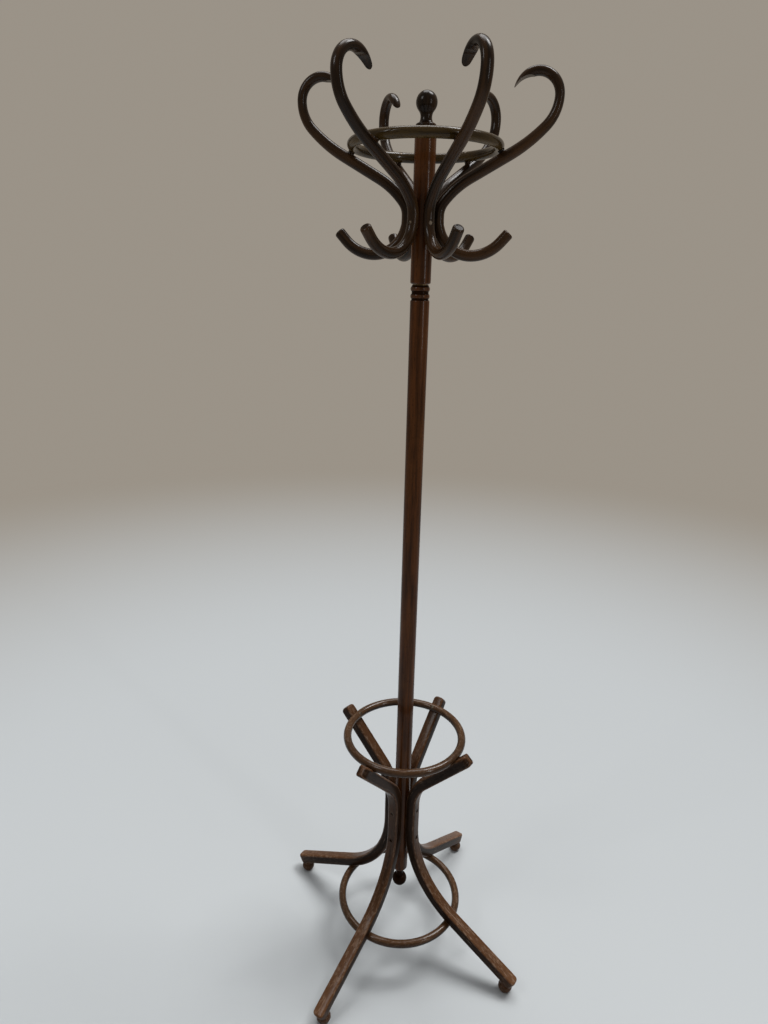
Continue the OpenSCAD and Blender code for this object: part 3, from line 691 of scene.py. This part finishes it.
# the three rings, their screws and the spacers under the upper one
ringBend = {"sides": 32, "steps": 160}
ringScrew = {"length": 0.032, "sink": 0.0005}
ringWork = {
    "crown_ring": {"body": "crown", "finish": "crownRingBeech", "slot": "stained_beech_dark", "wear": 0.15,
                   "tilt": -bentArm["slope"], "turns": armTurns},
    "umbrella_ring": {"body": "stand", "finish": "lowRingBeech", "slot": "stained_beech_worn", "wear": 0.3,
                      "tilt": -bentLeg["climb"], "turns": list(legTurns.values())},
    "lower_ring": {"body": "stand", "finish": "lowRingBeech", "slot": "stained_beech_worn", "wear": 0.35,
                   "tilt": 180 + bentLeg["fall"], "turns": list(legTurns.values())}}
spacer = {"radius": 0.006, "gap": 0.002, "wrap": 0.0025, "waist": 0.0054, "lip": 0.002, "sides": 32}


def makeRing(node, spec):
    reach, height, rod = ringAt(node)
    bm = bmesh.new()
    bmesh.ops.create_circle(bm, segments=ringBend["sides"], radius=rod)
    upright = Matrix.Translation((reach, 0, height)) @ Matrix.Rotation(math.pi / 2, 4, "X")
    bmesh.ops.transform(bm, matrix=upright, verts=bm.verts)
    bmesh.ops.spin(bm, geom=bm.verts[:] + bm.edges[:], cent=(0, 0, height), axis=(0, 0, 1), angle=math.tau,
                   steps=ringBend["steps"], use_merge=True)
    bmesh.ops.remove_doubles(bm, verts=bm.verts, dist=1e-6)
    bmesh.ops.recalc_face_normals(bm, faces=bm.faces)
    wear = wearLayer(bm)
    for v in bm.verts:
        v[wear] = spec["wear"] * max(0, (v.co.z - height) / rod)
    head = facing(reach, height, spec["tilt"], rod - ringScrew["sink"])
    places = [turned(head, azimuth) for azimuth in spec["turns"]]
    finishPiece(drillOut(bm, places), inCamel(node), spec["body"], spec["finish"], [node])
    driveScrews(node + "_screws", spec["body"], places, ringScrew["length"])


def makeSpacers(spec):
    reach, height, rod = ringAt("crown_ring")
    low = bentArm["rod"] - spec["wrap"]
    high = bentArm["rod"] + spec["gap"] + spec["wrap"]
    blank = turnOnLathe([(0, low), (spec["radius"], low), (spec["radius"], low + spec["lip"]),
                         (spec["waist"], (low + high) / 2), (spec["radius"], high - spec["lip"]),
                         (spec["radius"], high), (0, high)], spec["sides"])
    off = rod + spec["gap"] + bentArm["rod"]
    slope = math.radians(bentArm["slope"])
    foot = facing(reach + off * math.sin(slope), height - off * math.cos(slope), -bentArm["slope"])
    bm = copiesAt(blank, [turned(foot, azimuth) for azimuth in armTurns])
    finishPiece(bm, "ringSpacers", "crown", "finialBeech", ["ring_spacers"])


for ringNode, ringSpec in ringWork.items():
    makeRing(ringNode, ringSpec)
makeSpacers(spacer)
print("rings bent and screwed on")

# the turning joint's pin and washer keep their workshop shapes
for node, finish in {"spindle": "screwSteel", "thrust_washer": "washerBrassAndShade"}.items():
    nodes[node].data.materials.clear()
    nodes[node].data.materials.append(finishes[finish])

# floor and lights
studio = {"floor": (0.505, 0.53, 0.54, 1), "backdrop": (0.325, 0.290, 0.245, 1),
          "air": (0.10, 0.10, 0.105, 1), "fadeFrom": 1.3, "fadeTo": 4.5, "radius": 30, "sides": 96,
          "drop": 0.0003, "rough": 0.75}
skyLights = {"roofLight": {"azimuth": 15, "elevation": 62, "strength": 1.75, "spread": 22},
             "roofGlow": {"azimuth": 80, "elevation": 70, "strength": 1.35, "spread": 36}}
boxLights = {"windowStrip": {"azimuth": -56, "distance": 2.4, "height": 2.0, "size": (0.12, 1.5),
                             "power": 9, "aim": 1.6},
             "leftBox": {"azimuth": 200, "distance": 2.2, "height": 3.2, "size": (0.6, 0.9),
                         "power": 14, "aim": 1.5}}


def layFloor(spec):
    bm = bmesh.new()
    bmesh.ops.create_circle(bm, cap_ends=True, segments=spec["sides"], radius=spec["radius"])
    bmesh.ops.translate(bm, verts=bm.verts, vec=(0, 0, -spec["drop"]))
    material = bpy.data.materials.new("floorPaint")
    add = nodeMaker(material)
    place = add("ShaderNodeTexCoord").outputs["Object"]
    away = add("ShaderNodeVectorMath", {0: place}, operation="LENGTH").outputs["Value"]
    fade = softStep(add, away, spec["fadeFrom"], spec["fadeTo"])
    paint = add("ShaderNodeBsdfPrincipled", {"Base Color": spec["floor"], "Roughness": spec["rough"]})
    far = add("ShaderNodeEmission", {0: spec["backdrop"], 1: 1.0})
    mixed = add("ShaderNodeMixShader", {0: fade, 1: paint.outputs[0], 2: far.outputs[0]})
    add("ShaderNodeOutputMaterial", {0: mixed.outputs[0]})
    floor = objectFrom(bm, "floor")
    floor.data.materials.append(material)


def hangBox(name, azimuth, distance, height, size, power, aim):
    lamp = bpy.data.lights.new(name, "AREA")
    lamp.shape, lamp.size, lamp.size_y, lamp.energy = "RECTANGLE", size[0], size[1], power
    light = bpy.data.objects.new(name, lamp)
    bpy.context.scene.collection.objects.link(light)
    around = math.radians(azimuth)
    light.location = (distance * math.cos(around), distance * math.sin(around), height)
    light.rotation_euler = (Vector((0, 0, aim)) - light.location).to_track_quat("-Z", "Y").to_euler()


def hangSky(name, azimuth, elevation, strength, spread):
    lamp = bpy.data.lights.new(name, "SUN")
    lamp.energy, lamp.angle = strength, math.radians(spread)
    light = bpy.data.objects.new(name, lamp)
    bpy.context.scene.collection.objects.link(light)
    around, up = math.radians(azimuth), math.radians(elevation)
    source = Vector((math.cos(around) * math.cos(up), math.sin(around) * math.cos(up), math.sin(up)))
    light.rotation_euler = source.to_track_quat("Z", "Y").to_euler()


def lightStudio(spec):
    world = bpy.data.worlds.new("studioAir")
    bpy.context.scene.world = world
    add = nodeMaker(world)
    rays = add("ShaderNodeLightPath").outputs
    seen = mathStep(add, "MAXIMUM", rays["Is Camera Ray"], rays["Is Transmission Ray"])
    seen = mathStep(add, "MAXIMUM", seen, rays["Is Glossy Ray"])
    air = add("ShaderNodeBackground", {0: spec["air"], 1: 1.0})
    wall = add("ShaderNodeBackground", {0: spec["backdrop"], 1: 1.0})
    mixed = add("ShaderNodeMixShader", {0: seen, 1: air.outputs[0], 2: wall.outputs[0]})
    add("ShaderNodeOutputWorld", {0: mixed.outputs[0]})
    for name, sky in skyLights.items():
        hangSky(name, **sky)
    for name, box in boxLights.items():
        hangBox(name, **box)


layFloor(studio)
lightStudio(studio)
bpy.context.scene.view_settings.view_transform = "Standard"
print("studio lit")
